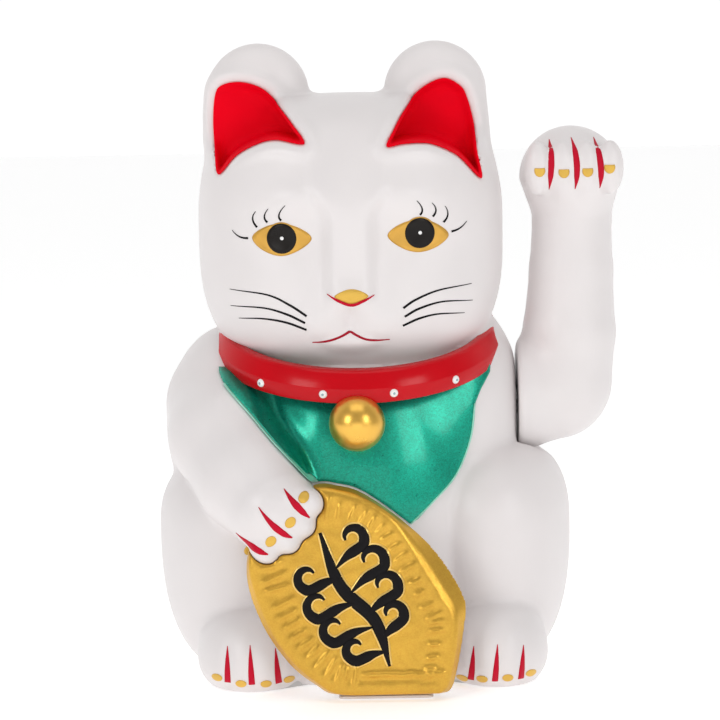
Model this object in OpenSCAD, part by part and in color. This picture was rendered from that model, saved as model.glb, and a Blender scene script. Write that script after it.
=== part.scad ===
// Beckoning cat figurine: a moulded two-part shell on a base plate, with a raised arm that
// waves fore and aft on a pendulum. Millimetres, +Z up, the cat faces -Y. The origin is at the
// centre of the base plate's underside.

/* [Body] */
// Half the width over the haunches
haunch_x = 66; // [62:0.5:70]
// Height of the widest part of the haunches
haunch_z = 46; // [42:1:50]
// Wall thickness of the moulded shells
wall = 2; // [1.8:0.1:2.4]
// Gap round each fitted trim piece
fit_gap = 0.15; // [0.1:0.05:0.3]

/* [Head] */
// Half the width of the head
head_x = 48.5; // [45:0.5:50]
// Half the depth of the head
head_y = 39; // [36:0.5:41]
// Height of the crown between the ears
crown_z = 184; // [182:0.5:186]
// Height of the ear tips, the top of the figurine
ear_z = 200; // [198:0.5:202]

/* [Raised arm] */
// Height of the arm's axle
axle_z = 85; // [84:0.5:86]
// Radius of the arm's round lower end about the axle
arm_end_r = 17.5; // [16.5:0.5:18]
// Where the arm's flat inner side stands off the body's flat side
arm_side_x = 49.6; // [49.4:0.1:50]
// Wall thickness of the arm
arm_wall = 1.8; // [1.5:0.1:2.2]

/* [Trim] */
// Radius of the bell
bell_r = 8.7; // [8:0.1:9]
// Half the length of the coin
coin_long = 40; // [38:0.5:41]
// Half the width of the coin
coin_short = 25; // [24:0.5:26]
// Number of studs round the collar
stud_count = 13; // [9:1:17]

/* [Mechanism] */
// Radius of the steel axle
axle_r = 2; // [1.5:0.5:2.5]
// Running clearance of the axle in its bearings
bearing_gap = 0.06; // [0.04:0.01:0.08]
// Thickness of the base plate
plate_t = 2.4; // [2:0.2:3]
// Radius of the battery
battery_r = 7.2; // [7:0.1:7.3]
// Length of each counterweight plate up the pendulum
weight_l = 13; // [12:0.5:18]
// How far the counterweight stands behind the pendulum's middle
weight_y = 0.2; // [-3:0.1:3]

/* [Hidden] */
$fn = 48;
far = 300;

// Ellipsoids that the body is blended from: centre, radii, radius upwards, fullness
torso = [[-2, 1, 45], [50, 44, 60], 74, 2.2];
skirt = [[1, 1, 5], [54, 45, 12], 24, 3];
haunches = [for (s = [-1, 1])
    [[s * 40, -4, haunch_z], [haunch_x - 40, 36, haunch_z + 2], 26 + 2 * s, 2.5]];
feet = [[[-36, -32, 9], [17.5, 21, 13], 17, 2.2], [[40.5, -31, 9], [16.5, 21, 13], 17, 2.2]];
shoulders = [[[-42, 0, 78], [22, 26, 34], 32, 2], [[28, 0, 82], [23.5, 28, 34], 37, 2]];
rump = [[0, 22, 24], [50, 24, 30], 44, 2.6];
lumps = concat([torso, rump, skirt], haunches, feet, shoulders);
shell_low = 0.4;
body_top = 116;
blend_power = 18;

head_at = [-3, -3, 139];
head_low = 97;

ear_spread = 29.3;
ear_y = -2.2;
ear_r = 18.4;

// The collar's ring: centre, half width, half depth, height at the front and slope to the back
collar_at = [-1.4, -4];
collar_x = 44.7;
collar_y = 41.5;
collar_z = 94.4;
collar_rise = 0.235;

bell_at = [-2, -45.5, 83.7];
coin_at = [-3.9, -56, 30];
coin_lean = 8;
coin_turn = 30;
coin_t = 4.5;
coin_low = 1.7;

// The lowered arm's forearm, shoulder to paw: centre and radius
forearm = [[[-45, -6, 86], 18], [[-43, -24, 77], 17], [[-36, -38, 66], 15.5], [[-27, -49, 57], 14.5]];

// The raised arm above its round end: centre and radius
arm_line = [[[65.5, 0, 91], 14.8], [[66.8, 0, 106], 15.2], [[68, 0, 126], 13.1],
    [[68, 0, 145], 12.8], [[67.6, -1, 155.6], 16.3]];

lever_x = 25.5;
upright_x = [8, 40];
upright_t = 3;
board_z = 8.4;
board_t = 1.6;
bobbin_h = 10;
magnet_z = 22.5;
magnet_h = 5;
standoffs = [[16, -19], [35, -19], [16, 5], [35, 5]];
frame_screw_at = [[4, -20], [46.2, -20], [4, 5], [46.2, 5]];
weight_z = 44;
door_x = [-34, -14];
door_y = [-33, 28];
battery_at = [-24, -25, 10.4];
battery_l = 50.5;
well_top = 19.5;
switch_at = [-43, 0];
boss_at = [[-41, -18], [42, -31], [-16, 35], [33, 27]];
boss_top = 16;

// How far a level slice of an ellipsoid shrinks at height z
function narrowing(e, z) =
    let (t = z > e[0][2] ? (z - e[0][2]) / e[2] : (e[0][2] - z) / e[1][2])
    t >= 1 ? 0 : pow(1 - pow(t, e[3]), 1 / e[3]);

// Distance from the upright axis to the far side of an ellipsoid's slice, in direction a
function reach(e, a, z) =
    let (n = narrowing(e, z), u = [cos(a) / e[1][0], sin(a) / e[1][1]],
         c = [e[0][0] / e[1][0], e[0][1] / e[1][1]], d = pow(u * c, 2) - u * u * (c * c - n * n))
    n <= 0 || d <= 0 ? 0 : max(0, (u * c + sqrt(d)) / (u * u));

// Blended reach of the whole body
function body_reach(a, z) =
    pow(vsum([for (e = lumps) pow(reach(e, a, z), blend_power)]), 1 / blend_power);
function vsum(v, i = 0) = i == len(v) ? 0 : v[i] + vsum(v, i + 1);

// Closed skin over rings of equal length, bottom ring first
module skin(rings) {
    n = len(rings[0]);
    m = len(rings);
    polyhedron(
        points = [for (r = rings) each r],
        faces = concat(
            [[for (i = [0:n - 1]) i]],
            [for (j = [0:m - 2]) for (i = [0:n - 1])
                each [[j * n + i, (j + 1) * n + i, (j + 1) * n + (i + 1) % n],
                      [j * n + i, (j + 1) * n + (i + 1) % n, j * n + (i + 1) % n]]],
            [[for (i = [n - 1:-1:0]) (m - 1) * n + i]]),
        convexity = 6);
}

// The body without its arms, grown outwards
module body_solid(grow = 0, low = shell_low, sides = 44, rows = 18) {
    skin([for (j = [0:rows]) let (z = low + (body_top - low) * j / rows)
        [for (i = [0:sides - 1])
            let (a = 360 * i / sides, r = body_reach(a, max(z, shell_low)) + grow)
            [r * cos(a), r * sin(a), z]]]);
}

// The head, a full rounded form
module head_solid(grow = 0, sides = 40, rows = 16) {
    low_h = head_at[2] - head_low + 4;
    high_h = crown_z - head_at[2];
    skin([for (j = [0:rows]) let (
            f = cos(180 - 174 * (j + 0.2) / (rows + 0.2)),
            z = f * (f < 0 ? low_h : high_h + grow),
            n = pow(1 - pow(abs(f), 2.8), 1 / 2.8))
        [for (i = [0:sides - 1]) let (a = 360 * i / sides,
                q = pow(pow(abs(cos(a)), 2.3) + pow(abs(sin(a)), 2.3), -1 / 2.3))
            head_at + [(head_x * n + grow) * q * cos(a), (head_y * n + grow) * q * sin(a), z]]]);
}

// One ear, a flat round form that widens into the head
module ear(side, grow = 0) {
    steps = 3;
    tip = [head_at[0] - 0.6 + side * ear_spread, ear_y, ear_z - ear_r];
    root = [head_at[0] + side * 25, ear_y, 158];
    for (i = [0:steps - 1]) hull() for (k = [i, i + 1]) let (f = k / steps)
        translate(tip + (root - tip) * f)
            scale([1, 0.42 + 0.2 * f, 1])
                sphere(ear_r + 2 * f + grow, $fn = 20);
}

// Round-ended limb through a list of centres and radii
module limb(line, grow = 0) {
    for (i = [0:len(line) - 2]) hull() for (k = [i, i + 1])
        translate(line[k][0]) sphere(line[k][1] + grow, $fn = 22);
}

// The tail, low on the back
module tail(grow = 0) {
    limb([for (f = [0:0.25:1]) [[10 + 24 * f, 44 - 5 * f * f, 12 + 16 * f * f], 7.5 - 1.5 * f]], grow);
}

// The collar's band, grown all round
module collar_ring(grow = 0, sides = 48) {
    profile = [[-4 - grow, -4.4 - grow], [0, -4.6 - grow], [0.7 + grow, -4.2], [1.2 + grow, 0.3],
        [-0.9 + grow, 4.5], [-1.6, 5 + grow], [-4 - grow, 5 + grow]];
    n = len(profile);
    pts = [for (i = [0:sides - 1]) let (a = 360 * i / sides) for (p = profile)
        let (x = (collar_x + p[0]) * cos(a), y = (collar_y + p[0]) * sin(a))
        [collar_at[0] + x, collar_at[1] + y, collar_z + collar_rise * (y + collar_y) + p[1]]];
    polyhedron(points = pts, convexity = 6, faces = [for (i = [0:sides - 1]) for (k = [0:n - 1])
        let (a = i * n + k, b = i * n + (k + 1) % n,
             c = ((i + 1) % sides) * n + (k + 1) % n, d = ((i + 1) % sides) * n + k)
        each [[a, b, c], [a, c, d]]]);
}

// The bib's outline swept front to back, as strips between stations down the chest
module bib_prism(grow = 0) {
    stations = [[104, -41, 36], [96, -40, 36], [87, -36, 35.2], [80, -32, 34.2], [72, -25, 31.5],
        [65, -18, 27.5], [58, -11, 20.5], [52, -4, 14], [47, 2, 8]];
    for (i = [0:len(stations) - 2]) hull() for (s = [stations[i], stations[i + 1]])
        translate([s[1] - grow, -60, s[0] - grow])
            cube([s[2] - s[1] + 2 * grow, 45, 2 * grow + 0.01]);
}

// The coin's outline in its own plane
module coin_outline(grow = 0) {
    points = [for (a = [0:10:350]) let (
            q = pow(pow(abs(cos(a)), 2.8) + pow(abs(sin(a)), 2.8), -1 / 2.8))
        [(coin_short + grow) * q * cos(a), (coin_long + grow) * q * sin(a)]];
    rotate(coin_turn) polygon(points);
}

// The coin: a face, a wider back and a flat foot
module coin_solid(grow = 0) {
    intersection() {
        translate(coin_at) rotate([90 - coin_lean, 0, 0]) hull() {
            translate([0, 0, coin_t - 1 + grow]) linear_extrude(1) coin_outline(grow - 1);
            translate([2.4, 1, -grow]) linear_extrude(1) coin_outline(grow);
        }
        translate([-far, -far, coin_low - grow]) cube(2 * far);
    }
}

// The belly's block behind the coin
module coin_block(inset = 0) {
    translate(coin_at) rotate([90 - coin_lean, 0, 0]) translate([2.4, 1, -26.15])
        linear_extrude(26 - inset) coin_outline(-2.5 - inset);
}

// The low foot in front under the coin
module coin_foot() {
    translate([-9, -61, shell_low]) cube([29, 24, coin_low - shell_low - fit_gap]);
}

// Bosses for the base screws, each on a rib to the wall
module bosses() {
    for (p = boss_at) translate([p[0], p[1], plate_t + fit_gap]) {
        cylinder(r = 4, h = boss_top, $fn = 20);
        rotate(atan2(p[1], p[0])) translate([0, -1.2, 0]) cube([20, 2.4, boss_top]);
    }
}

// Pilot holes in the bosses
module pilot_holes() {
    for (p = boss_at) translate([p[0], p[1], 0]) cylinder(r = 1.25, h = boss_top, $fn = 16);
}

// Everything that the shells enclose or fill, before it is hollowed
module outer_form() {
    difference() {
        union() {
            difference() {
                body_solid();
                difference() {
                    bib_prism(fit_gap);
                    body_solid(-0.8);
                }
            }
            coin_block();
            coin_foot();
        }
        translate([arm_side_x - 0.6, 0, axle_z]) rotate([0, 90, 0])
            cylinder(r = arm_end_r + 1.1, h = 60);
    }
    head_solid();
    for (s = [-1, 1]) ear(s);
    limb(forearm);
    tail();
}

// The hollow inside the shells
module cavity() {
    difference() {
        union() {
            body_solid(-wall - 0.6, low = -1);
            limb(forearm, -wall - 0.6);
            intersection() {
                coin_block(wall + 0.5);
                translate([-far, -far, 4]) cube(2 * far);
            }
        }
        translate([arm_side_x - 0.6 - wall, 0, axle_z]) rotate([0, 90, 0])
            cylinder(r = arm_end_r + 3.2, h = 60);
        translate(bell_at) sphere(bell_r + wall, $fn = 20);
        collar_ring(wall, 40);
    }
    difference() {
        head_solid(-wall, sides = 32, rows = 12);
        collar_ring(wall, 40);
    }
    for (s = [-1, 1]) ear(s, -wall);
}

// Both shells as one, hollow and open below
module shell() {
    difference() {
        outer_form();
        difference() {
            cavity();
            bosses();
        }
        pilot_holes();
        collar_ring(fit_gap);
        coin_solid(fit_gap);
        translate(bell_at) sphere(bell_r + fit_gap, $fn = 28);
        translate([arm_side_x - 6, 0, axle_z]) rotate([0, 90, 0]) cylinder(r = 5, h = 20, $fn = 24);
        translate([-far, -far, shell_low - far]) cube([2 * far, 2 * far, far]);
    }
}

module front_shell() {
    color("whitesmoke") intersection() {
        shell();
        translate([-far, -far, -1]) cube([2 * far, far, far]);
    }
}

module rear_shell() {
    color("white") intersection() {
        shell();
        translate([-far, 0, -1]) cube([2 * far, far, far]);
    }
}

module collar() {
    color("crimson") difference() {
        collar_ring();
        translate(bell_at) sphere(bell_r + fit_gap, $fn = 48);
    }
}

// The studs, left out where the shoulders cover the collar
module collar_studs() {
    color("ghostwhite") for (i = [0:stud_count - 1]) {
        a = 360 * (i + 0.5) / stud_count - 90;
        x = (collar_x + 0.4) * cos(a);
        y = (collar_y + 0.4) * sin(a);
        z = collar_z + collar_rise * (y + collar_y) - 1.2;
        if (abs(x) < collar_x - 6) translate([collar_at[0] + x, collar_at[1] + y, z])
            rotate([90, 0, a + 90]) cylinder(r = 1.3, h = 1.3, $fn = 24);
    }
}

// Everything above the lower part of the collar's band, where the bib ends
module above_collar() {
    translate([0, collar_at[1] - collar_y, collar_z - 2.5]) rotate([atan(collar_rise), 0, 0])
        translate([-far, -far, 0]) cube(2 * far);
}

module bib() {
    color("seagreen") difference() {
        intersection() {
            body_solid(0.7);
            bib_prism();
        }
        body_solid(-0.65);
        limb(forearm, 0.2);
        collar_ring(fit_gap);
        above_collar();
        coin_solid(fit_gap);
        translate(bell_at) sphere(bell_r + fit_gap, $fn = 28);
        coin_block();
    }
}

module bell() {
    color("goldenrod") translate(bell_at) sphere(bell_r, $fn = 64);
}

module coin() {
    color("gold") difference() {
        coin_solid();
        for (i = [0:len(forearm) - 2]) hull() for (k = [i, i + 1])
            translate(forearm[k][0]) sphere(forearm[k][1] - 0.4, $fn = 28);
        translate(bell_at) sphere(bell_r + 1, $fn = 36);
    }
}

// Outline of the base plate inside the shells' lower edge, with the body's own corners
module base_outline(sides = 44) {
    polygon([for (i = [0:sides - 1]) let (a = 360 * i / sides, r = body_reach(a, shell_low) - 3.4)
        [r * cos(a), r * sin(a)]]);
}

module base_plate() {
    color("gainsboro") difference() {
        union() {
            linear_extrude(plate_t) base_outline();
            translate([door_x[0] - 1.5, door_y[0] - 1.5, 0.2])
                cube([door_x[1] - door_x[0] + 3, door_y[1] - door_y[0] + 3, well_top - 0.2]);
        }
        translate([door_x[0], door_y[0], -1])
            cube([door_x[1] - door_x[0], door_y[1] - door_y[0], well_top - 0.5]);
        translate([switch_at[0] - 1.7, switch_at[1] - 4.2, -1]) cube([3.4, 8.4, plate_t + 2]);
        for (p = boss_at) translate([p[0], p[1], -1]) {
            cylinder(r = 1.5, h = plate_t + 2, $fn = 24);
            cylinder(r = 3, h = 2.2, $fn = 24);
        }
    }
}

// A pan-head screw standing on its head, point up
module screw(length, r = 1.2, head_r = 2.6, head_h = 0.8) {
    cylinder(r = r, h = length, $fn = 24);
    difference() {
        cylinder(r = head_r, h = head_h, $fn = 24);
        for (q = [0, 90]) rotate(q) translate([-1.6, -0.3, -0.5]) cube([3.2, 0.6, 0.9]);
    }
}

module base_screws() {
    color("silver") for (p = boss_at) translate([p[0], p[1], 0.35]) screw(11);
}

module battery_door() {
    gap = 0.2;
    color("lightgray") translate([door_x[0] + gap, door_y[0] + gap, 0.2]) difference() {
        cube([door_x[1] - door_x[0] - 2 * gap, door_y[1] - door_y[0] - 2 * gap, 2]);
        translate([6, 51, -0.5]) cube([8, 6, 1.4]);
    }
}

module battery() {
    color("dimgray") translate(battery_at) rotate([-90, 0, 0]) {
        cylinder(r = battery_r, h = battery_l - 1.4);
        cylinder(r = 2.7, h = battery_l);
    }
}

module positive_contact() {
    y = battery_at[1] + battery_l + 0.05;
    color("silver") {
        translate([battery_at[0] - 5, y, 4]) cube([10, 0.5, 12]);
        translate([door_x[0] + 0.1, y, 9]) cube([6, 0.5, 3]);
    }
}

// Tube of radius r through a list of points, eight-sided
module tube(path, r, sides = 8) {
    n = len(path);
    function heading(i) = let (d = path[min(i + 1, n - 1)] - path[max(i - 1, 0)]) d / norm(d);
    function across(i) = let (t = heading(i), c = cross(t, [0.13, 0.2, 0.97])) c / norm(c);
    skin([for (i = [0:n - 1]) let (u = across(i), v = cross(u, heading(i)))
        [for (k = [0:sides - 1]) let (a = -360 * k / sides) path[i] + r * (u * cos(a) + v * sin(a))]]);
}

module negative_spring() {
    turns = 4;
    y = door_y[0] + 0.8;
    length = battery_at[1] - y - 0.6;
    color("silver") {
        translate([battery_at[0] - 5, door_y[0] + 0.1, 4]) cube([10, 0.4, 12]);
        tube([for (i = [0:turns * 10]) let (f = i / (turns * 10), a = 360 * turns * f, r = 4.6 - 1.8 * f)
            [battery_at[0] + r * cos(a), y + length * f, battery_at[2] + r * sin(a)]], 0.35, 6);
    }
}

module switch_body() {
    color("silver") translate([switch_at[0], switch_at[1], plate_t]) difference() {
        translate([-3.5, -6, 0]) cube([7, 12, 5]);
        translate([-1.7, -4.2, -1]) cube([3.4, 8.4, 4.4]);
    }
}

module switch_knob() {
    color("black") translate([switch_at[0] - 1.4, switch_at[1] - 4, 0.5]) cube([2.8, 4, 4.8]);
}

module mechanism_frame() {
    color("lightsteelblue") difference() {
        union() {
            translate([0, -24, plate_t]) cube([49, 33.5, 2]);
            for (x = upright_x) {
                translate([x, -7, plate_t]) cube([upright_t, 14, axle_z - plate_t]);
                translate([x, 0, axle_z]) rotate([0, 90, 0]) cylinder(r = 7, h = upright_t);
                translate([x, -12, plate_t]) cube([upright_t, 21, 16]);
            }
            for (p = standoffs) translate([p[0], p[1], plate_t + 2])
                cylinder(r = 2.4, h = board_z - plate_t - 2);
        }
        for (x = upright_x) translate([x - 1, 0, axle_z]) rotate([0, 90, 0])
            cylinder(r = axle_r + bearing_gap, h = upright_t + 2);
        for (p = frame_screw_at) translate([p[0], p[1], plate_t - 1])
            cylinder(r = 1.5, h = 4, $fn = 24);
        for (p = standoffs) translate([p[0], p[1], plate_t + 2.5])
            cylinder(r = 1.1, h = 8, $fn = 24);
    }
}

module frame_screws() {
    color("silver") {
        for (p = frame_screw_at) translate([p[0], p[1], plate_t + 2])
            cylinder(r = 2.6, h = 1.4, $fn = 24);
        for (p = standoffs) translate([p[0], p[1], board_z + board_t]) mirror([0, 0, 1]) {
            translate([0, 0, -1.2]) cylinder(r = 2.2, h = 1.2, $fn = 24);
            cylinder(r = 1.05, h = 5, $fn = 24);
        }
    }
}

module circuit_board() {
    color("darkgreen") difference() {
        translate([12, -23, board_z]) cube([27, 31.5, board_t]);
        for (p = standoffs) translate([p[0], p[1], board_z - 1]) cylinder(r = 1.3, h = 4, $fn = 24);
    }
}

module circuit_parts() {
    z = board_z + board_t;
    color("darkslategray") {
        translate([22, -18.9, z]) cylinder(r = 2.5, h = 7);
        translate([26, -20, z]) cube([4.5, 3.5, 4.5]);
        translate([24, -12.6, z + 1.2]) rotate([0, 90, 0]) cylinder(r = 1.1, h = 6);
    }
}

module coil_bobbin() {
    color("ivory") translate([lever_x, 0, board_z + board_t]) {
        cylinder(r = 8.4, h = 1);
        cylinder(r = 3, h = bobbin_h);
        translate([0, 0, bobbin_h - 1]) cylinder(r = 8.4, h = 1);
    }
}

module coil_winding() {
    color("peru") translate([lever_x, 0, board_z + board_t + 1.05]) difference() {
        cylinder(r = 7.8, h = bobbin_h - 2.1);
        translate([0, 0, -1]) cylinder(r = 3.05, h = bobbin_h);
    }
}

// Smooth path of a lead that leaves both its ends upwards
function lead(a, b, rise, n = 16) = [for (i = [0:n]) let (f = i / n, g = 1 - f, up = [0, 0, rise])
    g * g * g * a + 3 * g * g * f * (a + up) + 3 * g * f * f * (b + up) + f * f * f * b];

module wire_red() {
    contact = [door_x[0] - 2.2, battery_at[1] + battery_l + 0.3, 10.5];
    color("red") {
        tube(lead(contact, [switch_at[0], switch_at[1] + 6.7, 6], 5), 0.6);
        tube(lead([switch_at[0] + 4.2, switch_at[1], 6.5], [13.2, -14, board_z + board_t + 0.7], 37),
            0.6);
    }
}

module wire_black() {
    spring = [door_x[1] + 2.2, door_y[0] + 3, 12];
    color("black") tube(lead(spring, [13.2, -16.3, board_z + board_t + 0.7], 9), 0.6);
}

module axle() {
    color("silver") translate([4, 0, axle_z]) rotate([0, 90, 0]) cylinder(r = axle_r, h = 54);
}

module axle_clips() {
    color("black") for (x = [upright_x[0] - 1.7, upright_x[1] + upright_t + 0.4])
        translate([x, 0, axle_z]) rotate([0, 90, 0]) difference() {
            cylinder(r = 4, h = 1.2);
            translate([0, 0, -1]) cylinder(r = axle_r + 0.02, h = 4);
        }
}

module pendulum_lever() {
    color("orange") translate([lever_x, 0, 0]) difference() {
        union() {
            translate([-3, 0, axle_z]) rotate([0, 90, 0]) cylinder(r = 6, h = 6);
            translate([-1.5, -4, magnet_z + magnet_h]) cube([3, 8, axle_z - magnet_z - magnet_h]);
            translate([0, 0, magnet_z + magnet_h]) cylinder(r = 9.5, h = 2.5);
        }
        translate([-5, 0, axle_z]) rotate([0, 90, 0]) cylinder(r = axle_r + 0.02, h = 10);
        translate([-5, 0, weight_z]) rotate([0, 90, 0]) cylinder(r = 1.55, h = 10, $fn = 24);
    }
}

module pendulum_magnet() {
    color("gray") translate([lever_x, 0, magnet_z]) cylinder(r = 8, h = magnet_h);
}

module counterweight() {
    color("slategray") for (s = [-1, 1]) translate([lever_x + s * 5.55, weight_y, weight_z]) difference() {
        cube([8, 18, weight_l], center = true);
        translate([-6, -weight_y, 0]) rotate([0, 90, 0]) cylinder(r = 1.55, h = 12, $fn = 24);
    }
}

module weight_bolt() {
    color("silver") translate([lever_x - 9.6, 0, weight_z]) rotate([0, 90, 0]) {
        cylinder(r = 1.5, h = 19.2, $fn = 24);
        translate([0, 0, -1.6]) cylinder(r = 2.8, h = 1.6, $fn = 24);
        translate([0, 0, 19.2]) cylinder(r = 2.8, h = 1.6, $fn = 6);
    }
}

// The raised arm's outside, flat where it meets the body
module arm_form(grow = 0) {
    intersection() {
        union() {
            hull() {
                translate([arm_side_x - 1, 0, axle_z]) rotate([0, 90, 0])
                    cylinder(r = arm_end_r + grow, h = 8, $fn = 40);
                translate([63, 0, axle_z + 1]) sphere(14.6 + grow, $fn = 32);
                translate(arm_line[0][0]) sphere(arm_line[0][1] + grow, $fn = 32);
            }
            limb(arm_line, grow);
        }
        translate([arm_side_x - grow, -far, 0]) cube(2 * far);
    }
}

module arm_shell() {
    difference() {
        arm_form();
        arm_form(-arm_wall);
        translate([arm_side_x - 5, 0, axle_z]) rotate([0, 90, 0]) cylinder(r = 5.2, h = 10, $fn = 32);
    }
}

module arm_front_half() {
    color("whitesmoke") intersection() {
        arm_shell();
        translate([0, -far, 0]) cube([far, far, far]);
    }
}

module arm_rear_half() {
    color("white") intersection() {
        arm_shell();
        translate([0, 0, 0]) cube([far, far, far]);
    }
}

module arm_hub() {
    color("gainsboro") translate([arm_side_x, 0, axle_z]) rotate([0, 90, 0]) difference() {
        union() {
            translate([0, 0, 0.1]) cylinder(r = 5, h = 9);
            translate([0, 0, arm_wall + 0.1]) cylinder(r = 13, h = 2);
        }
        translate([0, 0, -1]) cylinder(r = axle_r + 0.02, h = 9.4 + 0.1);
    }
}

front_shell();
rear_shell();
collar();
collar_studs();
bib();
bell();
coin();
base_plate();
base_screws();
battery_door();
battery();
positive_contact();
negative_spring();
switch_body();
switch_knob();
circuit_board();
circuit_parts();
coil_bobbin();
coil_winding();
wire_red();
wire_black();
mechanism_frame();
frame_screws();
axle();
axle_clips();
pendulum_lever();
pendulum_magnet();
counterweight();
weight_bolt();
arm_front_half();
arm_rear_half();
arm_hub();
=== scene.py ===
"""The looks of a beckoning cat figurine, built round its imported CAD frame.

The moulded shells, the arm, the coin and the bib are meshed from smooth distance fields that
blend the same rounded forms as the CAD part. Lengths in the fields are millimetres, and each
mesh is scaled to metres when it is made. The painted marks are thin raised pieces laid on the
surface. The cat faces -Y and +Z is up.
"""

import math

import bmesh
import bpy
import numpy as np
from mathutils import Matrix, Vector


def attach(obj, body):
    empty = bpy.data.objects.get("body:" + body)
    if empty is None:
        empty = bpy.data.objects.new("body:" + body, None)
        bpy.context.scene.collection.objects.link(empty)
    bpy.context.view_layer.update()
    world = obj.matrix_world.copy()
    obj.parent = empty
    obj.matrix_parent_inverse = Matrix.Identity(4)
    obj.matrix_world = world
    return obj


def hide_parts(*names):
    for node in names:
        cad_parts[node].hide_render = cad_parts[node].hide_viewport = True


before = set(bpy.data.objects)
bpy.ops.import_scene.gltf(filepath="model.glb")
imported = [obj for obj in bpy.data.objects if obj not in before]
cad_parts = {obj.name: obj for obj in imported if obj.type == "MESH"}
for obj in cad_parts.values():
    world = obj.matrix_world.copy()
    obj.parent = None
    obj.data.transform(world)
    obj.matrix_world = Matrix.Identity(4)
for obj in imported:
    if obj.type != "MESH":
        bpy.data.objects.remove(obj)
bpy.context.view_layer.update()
MM = 0.001

# ---------------------------------------------------------------- camera
camera_target = Vector((-0.00075, 0, 0.0978))
camera_distance = 1.0
camera_elevation = math.radians(7)
camera_roll = math.radians(1)
camera_lens, camera_sensor = 155, 36
camera_clip = (0.05, 20)

back = Vector((0, -math.cos(camera_elevation), math.sin(camera_elevation)))
level_right = Vector((1, 0, 0))
level_up = back.cross(level_right)
right = level_right * math.cos(camera_roll) - level_up * math.sin(camera_roll)
up = level_right * math.sin(camera_roll) + level_up * math.cos(camera_roll)
camera_data = bpy.data.cameras.new("camera")
camera_data.lens = camera_lens
camera_data.sensor_width = camera_sensor
camera_data.clip_start, camera_data.clip_end = camera_clip
camera = bpy.data.objects.new("camera", camera_data)
bpy.context.scene.collection.objects.link(camera)
camera.matrix_world = Matrix.Translation(camera_target + back * camera_distance) @ Matrix(
    (right, up, back)).transposed().to_4x4()
bpy.context.scene.camera = camera

# ---------------------------------------------------------------- distance fields, in mm
# Head and ears. The face's middle line is FACE_X; the ears' hollows reach back to EAR_FLOOR.
HEAD = (-3, -3, 139)
HEAD_X, HEAD_Y = 48.5, 39
HEAD_DOWN, HEAD_UP = 46, 45
HEAD_FULL, HEAD_PLAN = 2.8, 2.3
FACE_X = -3.4
EAR_Y = -2.2
EAR_R = 16.3
EAR_FLARE = 7.5
EAR_TIP, EAR_ROOT = (28.2, 183.7), (21.8, 158)
EAR_FLOOR = -7.4

# The axle, the plane where the raised arm meets the body, its round end and the ball on it,
# its wall, its seat in the body and the holes for the axle and the hub
AXLE_Z = 85
ARM_SIDE_X = 49.6
ARM_END_R = 17.5
ARM_BALL, ARM_BALL_R = (63, 0, AXLE_Z + 1), 14.6
ARM_WALL = 1.8
SEAT_MARGIN, SEAT_DEPTH = 1.1, 0.6
AXLE_HOLE_R, HUB_HOLE_R = 5, 5.2

# The moulding's rim above the floor, its walls (at the base, higher up) and its screw bosses
SHELL_LOW = 0.4
WALL_LOW, WALL_HIGH = 2.3, 3.4
BOSSES = [(-41, -18), (42, -31), (-16, 35), (33, 27)]
BOSS_R, BOSS_LOW, BOSS_HIGH = 4, 2.6, 18.5

# Ellipsoids: centre, radii (x, y, down), radius upwards, fullness of the upright profile
TORSO = ((-2, 1, 45), (50, 44, 60), 74, 2.2)
RUMP = ((0, 22, 24), (50, 24, 30), 44, 2.6)
SKIRT = ((1, 1, 5), (54, 45, 12), 24, 3)
HAUNCH_L = ((-40, -4, 46), (26, 36, 48), 24, 2.5)
HAUNCH_R = ((40, -4, 46), (26, 36, 48), 28, 2.5)
FOOT_L = ((-36, -32, 9), (17.5, 21, 13), 17, 2.2)
FOOT_R = ((40.5, -31, 9), (16.5, 21, 13), 17, 2.2)
SHOULDER_L = ((-42, 0, 78), (21.5, 26, 34), 32, 2)
SHOULDER_R = ((28, 0, 82), (23.5, 28, 34), 37, 2)

# Limbs: centres and radii along the middle line
FOREARM = [((-45, -6, 86), 18), ((-43, -24, 77), 17), ((-36, -38, 66), 15.5),
           ((-28.6, -49, 58.4), 14.2)]
FOREARM_BLEND = 6
PAW_AT, PAW_HEADING = (-27, 57), (0.74, -0.67)
TAIL = [((10, 44, 12), 7.5), ((16, 43.7, 13), 7.1), ((22, 42.8, 16), 6.8), ((28, 41.2, 21), 6.4),
        ((34, 39, 28), 6)]
ARM = [((65.5, 0, 91), 14.8), ((66.8, 0, 106), 14.8), ((67.6, 0, 126), 13.3),
       ((68, 0, 144), 12.6), ((67.6, -1, 155.8), 16.4)]

# Toes: their grooves on each foot and their places on the two paws
FOOT_GROOVES_L, FOOT_GROOVES_R = (-43.2, -35.4, -27.4), (33, 40.7, 48.6)
PAW_TOES = (-10.2, -3.6, 3.2, 9.6)
ARM_TOES = (56.4, 64.1, 71.8, 79.2)
TOE_R = 4.3

# The coin leans back, and its ornament's long axis is turned. Its foot stops at COIN_LOW.
COIN_AT = (-3.9, -56, 30)
COIN_LEAN = math.radians(8)
COIN_TURN = math.radians(30)
COIN_T = 4.5
COIN_LOW = 1.7
COIN_GAP = 0.15
COIN_BLOCK_DEPTH = 26
# The step under it: middle and half sizes (x, y)
COIN_STEP = ((5.5, -49), (14.6, 11.6))

# The collar rises towards the back by COLLAR_RISE
COLLAR_AT = (-1.4, -4)
COLLAR_X, COLLAR_Y = 44.7, 41.5
COLLAR_Z = 94.4
COLLAR_RISE = 0.28
BELL_AT = (-2, -45.5, 83.7)
BELL_R = 8.7

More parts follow.
